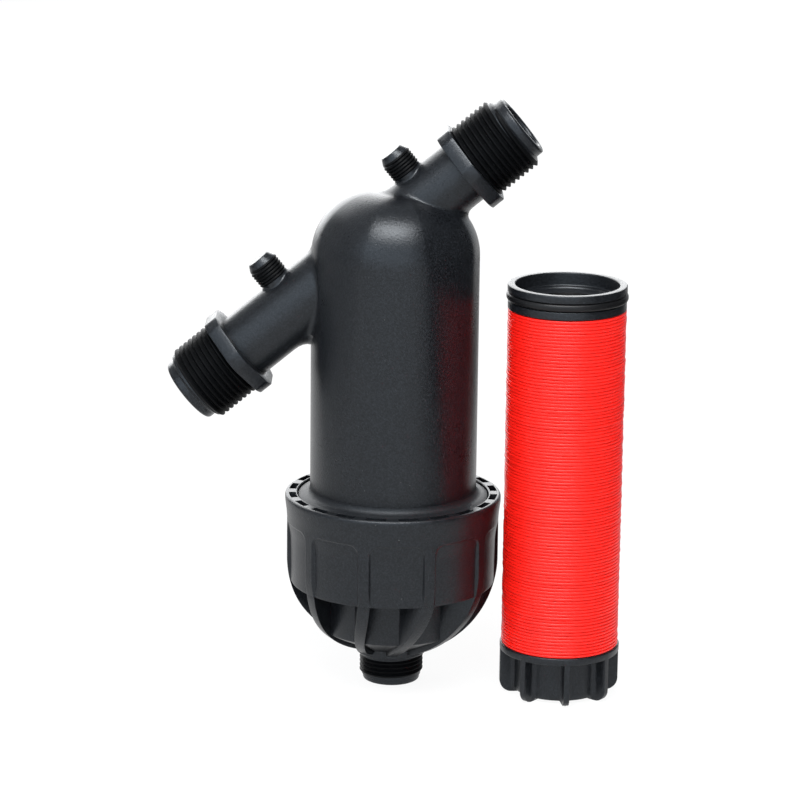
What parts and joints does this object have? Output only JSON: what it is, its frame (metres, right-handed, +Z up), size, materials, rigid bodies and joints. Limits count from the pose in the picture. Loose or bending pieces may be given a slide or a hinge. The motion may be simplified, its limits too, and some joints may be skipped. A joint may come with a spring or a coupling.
{
  "type": "irrigation disc filter",
  "caption": "Slanted in-line water filter: domed black housing with threaded ports, ribbed screw cap with drain nipple, and its finned cartridge of stacked red discs standing beside it.",
  "frame": {"origin": "centre of the drain nipple's end face, on the surface that the filter stands on", "axes": "+Z up along the housing's axis, +X towards the outlet side, -Y towards the picture's camera"},
  "size_m": [0.1879, 0.0894, 0.246],
  "materials": {
    "black_plastic": "satin moulded, fine texture",
    "seal_rubber": "smooth moulded",
    "disc_plastic": "satin, thin grooved rings"
  },
  "bodies": {
    "housing": {"housing": "black_plastic", "filter_discs": "disc_plastic", "cartridge_nut": "black_plastic"},
    "cap_seal": {"cap_seal": "seal_rubber"},
    "cap": {"cap": "black_plastic"},
    "head_seal": {"head_seal": "seal_rubber"},
    "spine": {"cartridge_spine": "black_plastic"}
  },
  "joints": [
    {"name": "cap_travel", "type": "slide", "parent": "housing", "child": "cap_seal", "axis": [0, 0, -1], "range_m": [0, 0.012]},
    {"name": "cap_turn", "type": "hinge", "parent": "cap_seal", "child": "cap", "pos_m": [0, 0, 0.06], "axis": [0, 0, -1], "range_deg": [0, 1080]},
    {"name": "spine_travel", "type": "slide", "parent": "housing", "child": "head_seal", "axis": [0, 0, 1], "range_m": [0, 0.009]},
    {"name": "spine_turn", "type": "hinge", "parent": "head_seal", "child": "spine", "pos_m": [0.0697, -0.01355, 0.16], "axis": [0, 0, 1], "range_deg": [0, 1080]}
  ],
  "couplings": [
    {"joint": "cap_travel", "follows": "cap_turn", "m_per_rad": 0.0006366},
    {"joint": "spine_travel", "follows": "spine_turn", "m_per_rad": 0.00047745}
  ]
}
